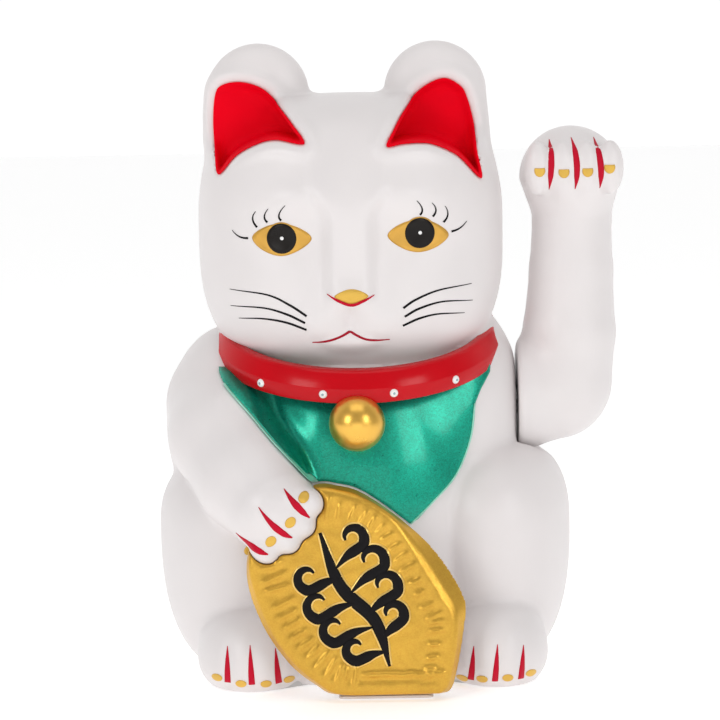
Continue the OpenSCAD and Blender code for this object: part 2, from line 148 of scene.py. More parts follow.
# Outlines on the front, as (x, z)
EAR_RED_L = [(-36.8, 188.1), (-42.9, 187.2), (-45.2, 184.1), (-46.0, 175.6), (-45.3, 165.6),
             (-43.9, 159.9), (-38.2, 165.8), (-31.5, 169.5), (-25.4, 170.8), (-16.8, 169.6),
             (-20.5, 175.5), (-24.4, 180.2), (-29.9, 185.8)]
EAR_RED_R = [(27.0, 188.3), (19.7, 184.9), (14.0, 178.5), (10.7, 173.0), (8.6, 168.4),
             (13.4, 169.0), (19.0, 169.2), (23.6, 168.4), (30.8, 164.7), (38.2, 157.3),
             (37.1, 166.0), (36.5, 174.3), (34.5, 182.1), (32.4, 185.8)]
BIB = [(-46, 104), (-45.6, 99), (-43.6, 95), (-36.8, 88), (-29.3, 80), (-21.9, 72.5),
       (-14.8, 65.2), (-6, 56), (4, 50), (14.4, 51.2), (21.3, 57.4), (29, 65.2), (33.7, 75.8),
       (35.3, 86.8), (35, 104)]

# The coin's face and back in its own plane, as (across, along)
COIN_FACE = [(-10.5, 34.6), (-2.5, 33.4), (5.1, 30.7), (12.7, 25.5), (17.7, 18.4), (22.5, 10.1),
             (27, 2.3), (30.5, -3.7), (30.8, -11.3), (29.2, -21.4), (26.8, -27.6), (23, -28.4),
             (10.5, -28.5), (-4, -28.3), (-11, -24.8), (-18.5, -17.9), (-24.4, -9.3),
             (-29.3, 2.4), (-31.9, 13.2), (-27.7, 22.6), (-19, 30.1)]
COIN_BACK = [(-13.2, 35.6), (-4, 35.8), (4, 33), (17.3, 23.2), (26.8, 13.4), (34.2, 0.5),
             (34, -8), (31.4, -22), (29, -28), (24, -28.8), (10, -28.8), (-6, -28.6),
             (-12, -25.6), (-20, -19.2), (-28.4, -6.8), (-33, 8.7), (-29, 23)]


def smin(a, b, k):
    """The lower of two fields, blended over k."""
    h = np.maximum(k - np.abs(a - b), 0) / k
    return np.minimum(a, b) - h * h * k / 4


def smax(a, b, k):
    """The higher of two fields, blended over k."""
    return -smin(-a, -b, k)


def step(x, start, end):
    """A smooth step from 0 at start to 1 at end."""
    t = np.clip((x - start) / (end - start), 0, 1)
    return t * t * (3 - 2 * t)


def bump(*terms):
    """A bell-shaped bump: 1 in the middle, falling off with the scaled offsets."""
    return np.exp(-sum(t * t for t in terms))


def ellipsoid(p, centre, radii, upwards, fullness, plan=2.0):
    """A full ellipsoid whose upper half may be taller; plan is its fullness seen from above."""
    x, y, z = p[0] - centre[0], p[1] - centre[1], p[2] - centre[2]
    level = np.abs(x / radii[0]) ** plan + np.abs(y / radii[1]) ** plan
    rise = np.abs(np.where(z > 0, z / upwards, z / radii[2]))
    f = (level ** (fullness / plan) + rise ** fullness) ** (1 / fullness)
    f = np.maximum(f, 1e-3)
    return np.sqrt(x * x + y * y + z * z) * (1 - 1 / f)


def limb(p, line, k=4.0):
    """A round limb of changing thickness along a line of centres."""
    total = None
    for (a, ra), (b, rb) in zip(line, line[1:]):
        ab = [b[i] - a[i] for i in range(3)]
        q = [p[i] - a[i] for i in range(3)]
        along = sum(q[i] * ab[i] for i in range(3)) / sum(v * v for v in ab)
        t = np.clip(along, 0, 1)
        d = np.sqrt(sum((q[i] - ab[i] * t) ** 2 for i in range(3))) - (ra + (rb - ra) * t)
        total = d if total is None else smin(total, d, k)
    return total


def smooth_loop(points, per_side=8):
    """A closed curve through points, by Catmull-Rom."""
    pts = np.array(points, float)
    out = []
    for i in range(len(pts)):
        a, b, c, d = pts[i - 1], pts[i], pts[(i + 1) % len(pts)], pts[(i + 2) % len(pts)]
        for t in np.arange(per_side) / per_side:
            out.append(0.5 * (2 * b + (c - a) * t + (2 * a - 5 * b + 4 * c - d) * t * t
                              + (3 * b - a - 3 * c + d) * t ** 3))
    return np.array(out)


class Outline:
    """The signed distance to a closed outline in the (x, z) plane, kept as a table."""

    def __init__(self, points, cell=0.5, margin=14, reach=99):
        loop = smooth_loop(points, 4)
        self.low = loop.min(0) - margin
        self.cell = cell
        n = np.ceil((loop.max(0) + margin - self.low) / cell).astype(int) + 1
        gx, gz = np.meshgrid(self.low[0] + cell * np.arange(n[0]),
                             self.low[1] + cell * np.arange(n[1]), indexing="ij")
        best = np.full(gx.shape, float(reach))
        inside = np.zeros(gx.shape, bool)
        for a, b in zip(loop, np.roll(loop, -1, 0)):
            ab = b - a
            t = np.clip(((gx - a[0]) * ab[0] + (gz - a[1]) * ab[1]) / max(ab @ ab, 1e-9), 0, 1)
            best = np.minimum(best, np.hypot(gx - a[0] - ab[0] * t, gz - a[1] - ab[1] * t))
            crosses = (a[1] > gz) != (b[1] > gz)
            rise = b[1] - a[1] if abs(b[1] - a[1]) > 1e-9 else 1e-9
            inside ^= crosses & (gx < a[0] + ab[0] * (gz - a[1]) / rise)
        self.table = np.where(inside, -best, best)

    def __call__(self, x, z):
        u = np.clip((x - self.low[0]) / self.cell, 0, self.table.shape[0] - 1.001)
        v = np.clip((z - self.low[1]) / self.cell, 0, self.table.shape[1] - 1.001)
        i, j = u.astype(int), v.astype(int)
        fu, fv = u - i, v - j
        t = self.table
        return ((t[i, j] * (1 - fu) + t[i + 1, j] * fu) * (1 - fv)
                + (t[i, j + 1] * (1 - fu) + t[i + 1, j + 1] * fu) * fv)


ear_hollows = [Outline(EAR_RED_L), Outline(EAR_RED_R)]
bib_outline = Outline(BIB)
coin_face, coin_back = Outline(COIN_FACE), Outline(COIN_BACK)


def ear(p, side):
    """One ear: a flat round form that widens into the head."""
    tip = (HEAD[0] - 0.6 + side * EAR_TIP[0], EAR_TIP[1])
    root = (HEAD[0] + side * EAR_ROOT[0], EAR_ROOT[1])
    f = np.clip((tip[1] - p[2]) / (tip[1] - root[1]), 0, 1.3)
    x = p[0] - tip[0] - (root[0] - tip[0]) * f
    y = (p[1] - EAR_Y) / (0.48 + 0.1 * f)
    z = p[2] - np.clip(p[2], root[1] - 8, tip[1])
    return (np.sqrt(x * x + y * y + z * z) - (EAR_R + EAR_FLARE * f)) * 0.5


def face(p, f):
    """The head's moulded features, as changes of a field."""
    front = step(p[1], -16, -28)
    x = p[0] - FACE_X
    z = p[2]
    ax = np.abs(x)
    # The nose bridge, which widens into the forehead, and the brows
    bridge = 7 + 5 * step(z, 146, 158)
    f = f - front * 2.4 * step(ax, bridge + 2.5, bridge - 3) * step(z, 114, 126) * step(z, 170, 146)
    f = f - front * 1.6 * bump((ax - 17) / 11, (z - 153.5) / 5)
    # The eye sockets, deepest beside the bridge
    f = f + front * 1.5 * bump((ax - 12.5) / 5, (z - 138) / 11)
    f = f + front * 0.9 * bump((ax - 21) / 10, (z - 141) / 7)
    # The nose, the muzzle's two halves and the cheeks
    f = f - front * 1.8 * bump(x / 7, (z - 122.5) / 4.5)
    f = f - front * 3.2 * bump((ax - 9) / 9.5, (z - 114) / 7.5)
    f = f - front * 1.4 * bump((ax - 27) / 12, (z - 121) / 10)
    # The groove under the nose, the lower lip, and the creases under it and along the mouth
    f = f + front * 0.45 * bump(x / 1.4) * step(z, 110, 114) * step(z, 121, 117)
    f = f - front * 2.2 * bump(x / 9, (z - 107.8) / 3.4)
    f = f + front * 0.7 * bump((z - 103.6 - 0.03 * x * x) / 2.0) * step(ax, 14, 6)
    return f + front * 0.4 * bump((z - 110.2 + 0.012 * x * x) / 1.3) * step(ax, 14, 9)


def toes(p, f, xs, low, high, before, depth=0.6, width=1.8):
    """Shallow upright grooves between toes, from low to high, in front of before only."""
    place = step(p[2], high, high - 9) * step(p[2], low - 1, low) * step(p[1], before, before - 4)
    for x in xs:
        f = f + depth * place * bump((p[0] - x) / width)
    return f


def coin_axes(p):
    """Coordinates on the coin: across, along, and out of its face."""
    x, y, z = p[0] - COIN_AT[0], p[1] - COIN_AT[1], p[2] - COIN_AT[2]
    out = -y * math.cos(COIN_LEAN) + z * math.sin(COIN_LEAN)
    v = y * math.sin(COIN_LEAN) + z * math.cos(COIN_LEAN)
    return x, v, out


def body_plain(p):
    """The body without its head, arms and trim."""
    f = ellipsoid(p, *TORSO)
    f = smin(f, ellipsoid(p, *RUMP), 8)
    f = smin(f, ellipsoid(p, *SKIRT), 5)
    f = smin(f, ellipsoid(p, *SHOULDER_L), 8)
    f = smin(f, ellipsoid(p, *SHOULDER_R), 8)
    f = smin(f, ellipsoid(p, *HAUNCH_L), 2.2)
    f = smin(f, ellipsoid(p, *HAUNCH_R), 2.2)
    f = smin(f, toes(p, ellipsoid(p, *FOOT_L), FOOT_GROOVES_L, 2, 21, -40), 2.2)
    return smin(f, toes(p, ellipsoid(p, *FOOT_R), FOOT_GROOVES_R, 2, 21, -40), 2.2)


def paw_axes(p):
    """Coordinates on the lowered paw: along it towards the claws, and across it."""
    x, z = p[0] - PAW_AT[0], p[2] - PAW_AT[1]
    along = x * PAW_HEADING[0] + z * PAW_HEADING[1]
    across = -x * PAW_HEADING[1] + z * PAW_HEADING[0]
    return along, across


def lowered_arm(p):
    """The forearm that lies across the chest, with toes over the coin."""
    f = limb(p, FOREARM, FOREARM_BLEND)
    along, across = paw_axes(p)
    for a in PAW_TOES:
        q = ((across - a) / TOE_R) ** 2 + ((along - 7.0 + 0.03 * a * a) / 5) ** 2
        q = np.sqrt(q + ((p[1] + 56) / 5.2) ** 2)
        f = smin(f, (q - 1) * 4.2, 2)
    return f


def body(p, ear_inset=0.5):
    """The whole outside of the moulded body. The ears' hollows start inside their outlines."""
    f = body_plain(p)
    f = smin(f, lowered_arm(p), 1.8)
    f = smin(f, limb(p, TAIL), 3)
    x, v, out = coin_axes(p)
    block = smax(coin_back(x, v) + 2, smax(out + COIN_GAP, -COIN_BLOCK_DEPTH - out, 1), 1)
    f = smin(f, block, 1.5)
    (foot_x, foot_y), (foot_half_x, foot_half_y) = COIN_STEP
    foot = smax(np.abs(p[0] - foot_x) - foot_half_x, np.abs(p[1] - foot_y) - foot_half_y, 2)
    f = smin(f, smax(foot, p[2] - COIN_LOW + COIN_GAP, 0.8), 1)
    seat_r = ARM_END_R + SEAT_MARGIN
    seat = smax(np.hypot(p[1], p[2] - AXLE_Z) - seat_r, ARM_SIDE_X - SEAT_DEPTH - p[0], 0.8)
    f = smax(f, -seat, 1.2)
    head = ellipsoid(p, HEAD, (HEAD_X, HEAD_Y, HEAD_DOWN), HEAD_UP, HEAD_FULL, HEAD_PLAN)
    head = face(p, head)
    for side, hollow in zip((-1, 1), ear_hollows):
        d = hollow(p[0], p[2])
        e = smin(head, ear(p, side), 2.6)
        near = step(p[1], EAR_Y + 1, EAR_Y - 4)
        e = e - near * 1.3 * bump((d - 2.6) / 2.2) * step(p[2], 160, 170)
        head = smax(e, -smax(d + ear_inset, p[1] - EAR_FLOOR, 3), 1.6)
    return smin(f, head, 1.2)


def shell(p):
    """The hollow moulding, open below, with its bosses and the hole for the axle."""
    outside = body(p)
    wall = WALL_LOW + (WALL_HIGH - WALL_LOW) * step(p[2], 12, 30)
    f = smax(outside, -(outside + wall), 0.4)
    for x, y in BOSSES:
        boss = np.maximum(np.hypot(p[0] - x, p[1] - y) - BOSS_R, p[2] - BOSS_HIGH)
        f = np.minimum(f, np.maximum(np.maximum(boss, BOSS_LOW - p[2]), outside))
    hole = np.maximum(np.hypot(p[1], p[2] - AXLE_Z) - AXLE_HOLE_R, ARM_SIDE_X - 7 - p[0])
    return smax(f, -hole, 0.4)


def raised_arm(p):
    """The outside of the raised arm, flat towards the body."""
    end = smax(np.hypot(p[1], p[2] - AXLE_Z) - ARM_END_R, p[0] - 57, 9)
    ball = np.sqrt(sum((p[i] - ARM_BALL[i]) ** 2 for i in range(3))) - ARM_BALL_R
    f = smin(smin(end, ball, 9), limb(p, ARM, 1.2), 5)
    for x in ARM_TOES:
        q = ((p[0] - x) / TOE_R) ** 2 + ((p[2] - 159.5) / 8.5) ** 2 + ((p[1] + 14) / 4.2) ** 2
        f = smin(f, (np.sqrt(q) - 1) * 4.2, 2.2)
    return smax(f, ARM_SIDE_X - p[0], 1.4)


def arm_shell(p):
    """The arm's hollow moulding."""
    outside = raised_arm(p)
    f = smax(outside, -(outside + ARM_WALL), 0.4)
    hole = np.maximum(np.hypot(p[1], p[2] - AXLE_Z) - HUB_HOLE_R, p[0] - ARM_SIDE_X - 4)
    return smax(f, -hole, 0.4)


def front_y(field, x, z, start=-70.0, steps=100):
    """Where a line from the front first meets a field's surface, at each (x, z)."""
    x, z = np.asarray(x, float), np.asarray(z, float)
    y = np.full(x.shape, start)
    for _ in range(steps):
        y = y + np.clip(field((x, y, z)), -4, 4) * 0.6
    return y


# ---------------------------------------------------------------- meshing
def net(field, low, high, cell):
    """A quad mesh of a field's zero surface: surface nets, then pulled onto the field."""
    axes = [np.arange(a, b + cell, cell) for a, b in zip(low, high)]
    gy, gz = np.meshgrid(axes[1], axes[2], indexing="ij")
    value = np.array([field((np.full(gy.shape, x), gy, gz)) for x in axes[0]], np.float32)
    shape = np.array(value.shape)
    for side in (0, -1):
        value[side], value[:, side], value[:, :, side] = cell, cell, cell
    # Each grid edge that crosses the surface adds its crossing to the four cells round it,
    # and gives one quad between those cells' points
    total = np.zeros((value.size, 3))
    count = np.zeros(value.size)
    quads = []
    for a in range(3):
        b, c = (a + 1) % 3, (a + 2) % 3
        here = np.take(value, range(shape[a] - 1), a)
        there = np.take(value, range(1, shape[a]), a)
        crossing = (here < 0) != (there < 0)
        index = np.argwhere(crossing)
        lo, hi = here[crossing], there[crossing]
        point = index.astype(float)
        point[:, a] += lo / (lo - hi)
        corners = []
        for ob, oc in ((0, 0), (-1, 0), (-1, -1), (0, -1)):
            near = index.copy()
            near[:, b] += ob
            near[:, c] += oc
            flat = np.ravel_multi_index(near.T, shape)
            np.add.at(total, flat, point)
            np.add.at(count, flat, 1)
            corners.append(flat)
        quad = np.stack(corners, 1)
        quad[lo >= 0] = quad[lo >= 0][:, ::-1]
        quads.append(quad)
    used = np.flatnonzero(count)
    number = np.zeros(value.size, int)
    number[used] = np.arange(len(used))
    p = np.array(low) + cell * total[used] / count[used][:, None]
    # Three steps down the field's slope, each kept within the cell
    for _ in range(3):
        f = field(p.T)
        slope = np.stack([(field((p + h).T) - field((p - h).T)) / 0.3
                          for h in 0.15 * np.eye(3)], 1)
        move = -slope * (f / np.maximum((slope ** 2).sum(1), 0.2))[:, None]
        p = p + np.clip(move, -0.4 * cell, 0.4 * cell)
    return p, number[np.concatenate(quads)]


def piece(name, points, faces, material, body_name, slot, replaces=(), smooth=True):
    """A mesh object from points in mm, painted, and riding on a body of the frame."""
    mesh = bpy.data.meshes.new(name)
    mesh.from_pydata((np.asarray(points, float) * MM).tolist(), [],
                     faces.tolist() if isinstance(faces, np.ndarray) else faces)
    mesh.validate()
    mesh.polygons.foreach_set("use_smooth", [smooth] * len(mesh.polygons))
    mesh.materials.append(material)
    return place(bpy.data.objects.new(name, mesh), body_name, slot, replaces)


def place(obj, body_name, slot, replaces=()):
    """Puts a piece in the scene, on its body, and hides the parts it replaces."""
    bpy.context.scene.collection.objects.link(obj)
    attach(obj, body_name)
    if replaces:
        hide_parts(*replaces)
    return obj


def cut(mesh_data, planes):
    """A closed mesh cut off by planes, each (point, outward normal) in mm, and capped."""
    bm = bmesh.new()
    points, faces = mesh_data
    verts = [bm.verts.new(v) for v in points]
    for f in faces:
        bm.faces.new([verts[i] for i in f])
    for point, normal in planes:
        geom = bm.verts[:] + bm.edges[:] + bm.faces[:]
        made = bmesh.ops.bisect_plane(bm, geom=geom, dist=1e-4, plane_co=point,
                                      plane_no=normal, clear_outer=True)
        rim = [e for e in made["geom_cut"] if isinstance(e, bmesh.types.BMEdge)]
        bmesh.ops.triangle_fill(bm, use_beauty=True, use_dissolve=False, edges=rim,
                                normal=normal)
    bm.normal_update()
    bm.verts.index_update()
    out = [tuple(v.co) for v in bm.verts], [[v.index for v in f.verts] for f in bm.faces]
    bm.free()
    return out


def sharpen(obj, angle=math.radians(40)):
    """Marks edges sharper than an angle, so that caps and rims stay crisp."""
    bm = bmesh.new()
    bm.from_mesh(obj.data)
    for e in bm.edges:
        e.smooth = len(e.link_faces) != 2 or e.calc_face_angle(0) < angle
    bm.to_mesh(obj.data)
    bm.free()
    return obj


def grid_faces(rows, columns, wrap_rows=False, wrap_columns=True):
    """Quads over rows of equal length, in reading order."""
    faces = []
    for r in range(rows if wrap_rows else rows - 1):
        for c in range(columns if wrap_columns else columns - 1):
            r2, c2 = (r + 1) % rows, (c + 1) % columns
            faces.append([r * columns + c, r * columns + c2, r2 * columns + c2, r2 * columns + c])
    return faces


def patch_mesh(outline, field, lift=0.25, centre=None, rings=7, per_side=8, sink=0.45, crowd=1):
    """A painted area: a thin domed slab over an outline on the front of a field's surface.

    A crowd above 1 draws the rings together near the outline, where a surface turns sharply.
    """
    loop = smooth_loop(outline, per_side)
    middle = loop.mean(0) if centre is None else np.array(centre)
    share = 1 - np.linspace(0, 1, rings + 1)[:-1] ** crowd
    xz = middle + (loop - middle) * share[:, None, None]
    y = front_y(field, xz[..., 0], xz[..., 1])
    y0 = front_y(field, middle[0], middle[1])
    proud = lift * np.array([0.35] + [1] * (rings - 1))
    top = np.stack([xz[..., 0], y - proud[:, None], xz[..., 1]], -1)
    under = np.stack([xz[..., 0], y + sink, xz[..., 1]], -1)
    n = len(loop)
    points = list(under.reshape(-1, 3)) + [(middle[0], y0 + sink, middle[1])]
    base = len(points)
    points += list(top.reshape(-1, 3)) + [(middle[0], y0 - lift, middle[1])]
    faces = []
    for start, flip in ((0, True), (base, False)):
        part = [[start + i for i in f] for f in grid_faces(rings, n)]
        tip = start + rings * n
        last = start + (rings - 1) * n
        part += [[last + i, last + (i + 1) % n, tip] for i in range(n)]
        faces += [f[::-1] for f in part] if flip else part
    faces += [[i, (i + 1) % n, base + (i + 1) % n, base + i] for i in range(n)]
    area = np.sum(loop[:, 0] * np.roll(loop[:, 1], -1) - loop[:, 1] * np.roll(loop[:, 0], -1))
    if area < 0:
        faces = [f[::-1] for f in faces]
    return np.array(points), faces


def curve(points, samples=28):
    """A smooth open line through points: a parabola through three, else Catmull-Rom."""
    pts = np.array(points, float)
    if len(pts) == 3:
        t = np.linspace(0, 1, samples)[:, None]
        return (pts[0] * (1 - t) * (1 - 2 * t) + 4 * pts[1] * t * (1 - t)
                + pts[2] * t * (2 * t - 1))
    pts = np.vstack([2 * pts[0] - pts[1], pts, 2 * pts[-1] - pts[-2]])
    spans = len(pts) - 3
    out = []
    for u in np.linspace(0, spans, samples):
        i = min(int(u), spans - 1)
        t = u - i
        a, b, c, d = pts[i:i + 4]
        out.append(0.5 * (2 * b + (c - a) * t + (2 * a - 5 * b + 4 * c - d) * t * t
                          + (3 * b - a - 3 * c + d) * t ** 3))
    return np.array(out)


def stroke_mesh(points, widths, field, lift=0.22, sink=0.4, samples=28):
    """A painted line: a thin rounded ribbon whose half width follows widths along it."""
    line = curve(points, samples)
    along = np.gradient(line, axis=0)
    along /= np.linalg.norm(along, axis=1)[:, None] + 1e-9
    side = np.stack([-along[:, 1], along[:, 0]], 1)
    half = np.interp(np.linspace(0, 1, samples), np.linspace(0, 1, len(widths)), widths)
    across = np.array([-1, -0.55, 0, 0.55, 1])
    xz = line[:, None] + side[:, None] * (across[:, None] * half[:, None, None])
    y = front_y(field, xz[..., 0], xz[..., 1])
    top = np.stack([xz[..., 0], y - lift * (1.05 - across ** 2 * 0.85), xz[..., 1]], -1)
    under = np.stack([xz[..., 0], y + sink, xz[..., 1]], -1)[:, ::-1]
    ring = np.concatenate([top, under], 1)
    m = ring.shape[1]
    faces = grid_faces(samples, m)
    last = (samples - 1) * m
    faces += [[m - 1 - i for i in range(m)], [last + i for i in range(m)]]
    return ring.reshape(-1, 3), [f[::-1] for f in faces]


def merged(parts):
    """Several meshes as one."""
    points, faces, start = [], [], 0
    for p, f in parts:
        points += [tuple(v) for v in p]
        faces += [[start + i for i in q] for q in f]
        start += len(p)
    return points, faces


def lathe(profile, at, sides=64, tilt=None):
    """A turned form: (radius, height) stations from one pole to the other."""
    rings = [[(r * math.cos(a), r * math.sin(a), h) for a in np.arange(sides) * 2 * np.pi / sides]
             for r, h in profile]
    points = np.array(rings).reshape(-1, 3)
    if tilt is not None:
        points = points @ np.array(tilt.to_3x3()).T
    faces = grid_faces(len(profile), sides)
    faces += [list(range(sides))[::-1], [len(points) - sides + i for i in range(sides)]]
    return points + np.array(at), faces


# ---------------------------------------------------------------- materials
def paint(name, colour, roughness, metallic=0.0, coat=0.0, vary=0.03, grain=900.0, bump=0.03,
          flakes=0.0, flake_size=2200.0, patches=60.0, specular=0.5):
    """A moulded or painted finish: slight tone and roughness changes, orange peel, flakes."""
    material = bpy.data.materials.new(name)
    material.use_nodes = True
    nodes, links = material.node_tree.nodes, material.node_tree.links
    shader = nodes["Principled BSDF"]
    shader.inputs["Metallic"].default_value = metallic
    shader.inputs["Coat Weight"].default_value = coat
    shader.inputs["Coat Roughness"].default_value = 0.08
    shader.inputs["Specular IOR Level"].default_value = specular
    place_at = nodes.new("ShaderNodeTexCoord")

    def noise(scale, detail):
        n = nodes.new("ShaderNodeTexNoise")
        n.inputs["Scale"].default_value = scale
        n.inputs["Detail"].default_value = detail
        links.new(place_at.outputs["Object"], n.inputs["Vector"])
        return n.outputs["Fac"]

    def ranged(source, low, high):
        m = nodes.new("ShaderNodeMapRange")
        m.inputs["From Min"].default_value = 0.3
        m.inputs["From Max"].default_value = 0.7
        m.inputs["To Min"].default_value = low
        m.inputs["To Max"].default_value = high
        links.new(source, m.inputs["Value"])
        return m.outputs["Result"]

    def shaded(source, a, b):
        mix = nodes.new("ShaderNodeMix")
        mix.data_type = "RGBA"
        mix.inputs["A"].default_value = (*a, 1)
        mix.inputs["B"].default_value = (*b, 1)
        links.new(source, mix.inputs["Factor"])
        return mix.outputs["Result"]

    dark = [c * (1 - vary) for c in colour]
    light = [min(c * (1 + vary), 1) for c in colour]
    tone = shaded(ranged(noise(patches, 2), 0, 1), dark, light)
    height = noise(grain, 3)
    if flakes:
        cells = nodes.new("ShaderNodeTexVoronoi")
        cells.inputs["Scale"].default_value = flake_size
        links.new(place_at.outputs["Object"], cells.inputs["Vector"])
        spark = nodes.new("ShaderNodeSeparateColor")
        links.new(cells.outputs["Color"], spark.inputs["Color"])
        glint = nodes.new("ShaderNodeMix")
        glint.data_type = "RGBA"
        glint.blend_type = "OVERLAY"
        glint.inputs["Factor"].default_value = flakes
        links.new(tone, glint.inputs["A"])
        links.new(spark.outputs["Red"], glint.inputs["B"])
        tone = glint.outputs["Result"]
        height = spark.outputs["Green"]
    links.new(tone, shader.inputs["Base Color"])
    links.new(ranged(noise(patches * 3, 3), roughness * 0.88, roughness * 1.12),
              shader.inputs["Roughness"])
    relief = nodes.new("ShaderNodeBump")
    relief.inputs["Strength"].default_value = bump
    relief.inputs["Distance"].default_value = 0.0004
    links.new(height, relief.inputs["Height"])
    links.new(relief.outputs["Normal"], shader.inputs["Normal"])
    return material


WHITE = (0.765, 0.725, 0.722)
white = paint("white_satin_plastic", WHITE, 0.42, vary=0.012, coat=0.06, bump=0.025)
arm_white = paint("white_satin_arm", WHITE, 0.42, vary=0.012, coat=0.06, bump=0.025)
red_gloss = paint("red_gloss_collar", (0.56, 0.0, 0.006), 0.2, coat=0.04, vary=0.05, bump=0.015,
                  specular=0.2)
red_paint = paint("red_satin_paint", (0.8, 0.0, 0.011), 0.6, vary=0.05, bump=0.05, specular=0.04)
stroke_red = paint("red_line_paint", (0.52, 0.001, 0.022), 0.5, vary=0.08, bump=0.05,
                   specular=0.15)
mouth_red = paint("dark_red_paint", (0.38, 0.006, 0.022), 0.5, vary=0.06, bump=0.04, specular=0.15)
green = paint("green_metallic", (0.002, 0.33, 0.22), 0.3, metallic=0.64, coat=0.2, vary=0.08,
              bump=0.1, flakes=0.25, flake_size=3400)
# A lighter green than the bib: painted highlight for the bead along the bib's side edges
green_edge_highlight = paint("green_edge_highlight", (0.3, 0.72, 0.56), 0.35, metallic=0.4, coat=0.3, vary=0.04)
gold = paint("gold_satin_paint", (0.68, 0.385, 0.05), 0.34, metallic=0.72, vary=0.06, bump=0.12,
             flakes=0.08, flake_size=2600)
gold_edge = paint("gold_edge_paint", (0.95, 0.66, 0.2), 0.3, metallic=0.6, vary=0.05)
gold_bell = paint("gold_bell", (0.86, 0.5, 0.09), 0.3, metallic=0.85, coat=0.15, vary=0.05)
gold_mark = paint("gold_mark_paint", (0.72, 0.44, 0.07), 0.42, metallic=0.4, vary=0.1, bump=0.1)
gold_eye = paint("gold_eye_paint", (0.66, 0.36, 0.058), 0.34, metallic=0.45, vary=0.12,
                 patches=160)
black = paint("black_line_paint", (0.005, 0.004, 0.005), 0.5, vary=0.2, bump=0.06, specular=0.15)
pupil_black = paint("black_pupil_paint", (0.008, 0.006, 0.005), 0.3, vary=0.3, specular=0.2)
stud_white = paint("white_stud", (0.86, 0.86, 0.85), 0.3, coat=0.3)
stud_dot = paint("stud_centre", (0.3, 0.42, 0.45), 0.35, metallic=0.4)

finishes = {
    "base_grey": paint("grey_base_plastic", (0.6, 0.6, 0.59), 0.5, vary=0.03, bump=0.1),
    "door_grey": paint("grey_door_plastic", (0.5, 0.5, 0.49), 0.48, vary=0.03, bump=0.12),
    "frame_plastic": paint("frame_plastic", (0.42, 0.48, 0.55), 0.5, bump=0.08),
    "knob_black": paint("knob_black", (0.02, 0.02, 0.021), 0.45, bump=0.12),
    "lever_plastic": paint("lever_plastic", (0.62, 0.24, 0.04), 0.45, bump=0.08),
    "hub_plastic": paint("hub_plastic", (0.66, 0.66, 0.64), 0.48, bump=0.06),
    "bobbin_plastic": paint("bobbin_plastic", (0.72, 0.69, 0.58), 0.5, bump=0.06),
    "cell_jacket": paint("cell_jacket", (0.08, 0.1, 0.13), 0.28, coat=0.5, vary=0.1),
    "steel": paint("bright_steel", (0.62, 0.62, 0.62), 0.26, metallic=1.0, bump=0.05),
    "magnet_steel": paint("magnet_steel", (0.32, 0.32, 0.33), 0.36, metallic=0.9, bump=0.08),
    "board_green": paint("board_green", (0.01, 0.11, 0.04), 0.38, coat=0.3, vary=0.12),
    "parts_dark": paint("parts_dark", (0.03, 0.03, 0.035), 0.4, bump=0.1),
    "copper": paint("copper_winding", (0.62, 0.24, 0.1), 0.3, metallic=1.0, grain=2600, bump=0.4),
    "lead_red": paint("lead_red", (0.5, 0.012, 0.01), 0.42, bump=0.08),
    "lead_black": paint("lead_black", (0.02, 0.02, 0.02), 0.42, bump=0.08),
}
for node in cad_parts.values():
    for material_slot in node.material_slots:
        base_name = material_slot.material.name.split(".")[0]
        material_slot.material = finishes.get(base_name, material_slot.material)

# ---------------------------------------------------------------- moulded shells and arm
# Each mesh: the box it is sought in and its cell
coarser = 1.0
BODY_BOX, BODY_CELL = ((-70, -68, -4), (70, 56, 204)), 1.15
ARM_BOX, ARM_CELL = ((47, -21, 64), (88, 21, 176)), 0.8
BIB_BOX, BIB_CELL = ((-48, -50, 48), (40, -12, 103)), 0.6
COIN_BOX, COIN_CELL = ((-38, -36, -2), (39, 41, 7)), 0.55
seam = 0.03

hollow_body = net(shell, *BODY_BOX, BODY_CELL * coarser)
floor_cut = ((0, 0, SHELL_LOW), (0, 0, -1))
for name, side in (("front_shell", -1), ("rear_shell", 1)):
    half = cut(hollow_body, [floor_cut, ((0, side * seam, 0), (0, -side, 0))])
    sharpen(piece("visual_" + name, *half, white, "body", "shell_white", [name]))

hollow_arm = net(arm_shell, *ARM_BOX, ARM_CELL * coarser)
for name, side in (("arm_front_half", -1), ("arm_rear_half", 1)):
    half = cut(hollow_arm, [((0, side * seam, 0), (0, -side, 0))])
    sharpen(piece("visual_" + name, *half, arm_white, "arm", "arm_white", [name]))

# ---------------------------------------------------------------- collar, studs and bell
# The band's section, as (outwards, upwards) from the collar's ellipse
COLLAR_PROFILE = [(-4, -4.4), (0, -4.6), (0.7, -4.2), (1.2, 0.3), (-0.9, 4.5), (-1.6, 5), (-4, 5)]


def collar_mesh(sides=180, support=0.16):
    """The collar's bevelled band, with close points that keep each bevel crisp."""
    profile = []
    n = len(COLLAR_PROFILE)
    for i, corner in enumerate(COLLAR_PROFILE):
        here = np.array(corner)
        for other in (COLLAR_PROFILE[i - 1], COLLAR_PROFILE[(i + 1) % n]):
            d = np.array(other) - here
            profile.append(here + d * min(0.3, support / np.linalg.norm(d)))
    points = []
    for a in np.arange(sides) * 2 * np.pi / sides:
        for r, h in profile:
            y = (COLLAR_Y + r) * math.sin(a)
            points.append((COLLAR_AT[0] + (COLLAR_X + r) * math.cos(a), COLLAR_AT[1] + y,
                           COLLAR_Z + COLLAR_RISE * (y + COLLAR_Y) + h))
    return np.array(points), grid_faces(sides, len(profile), wrap_rows=True)


points, faces = collar_mesh()
faces = [f[::-1] for f in faces]
piece("visual_collar", points, faces, red_gloss, "body", "collar_red", ["collar"])

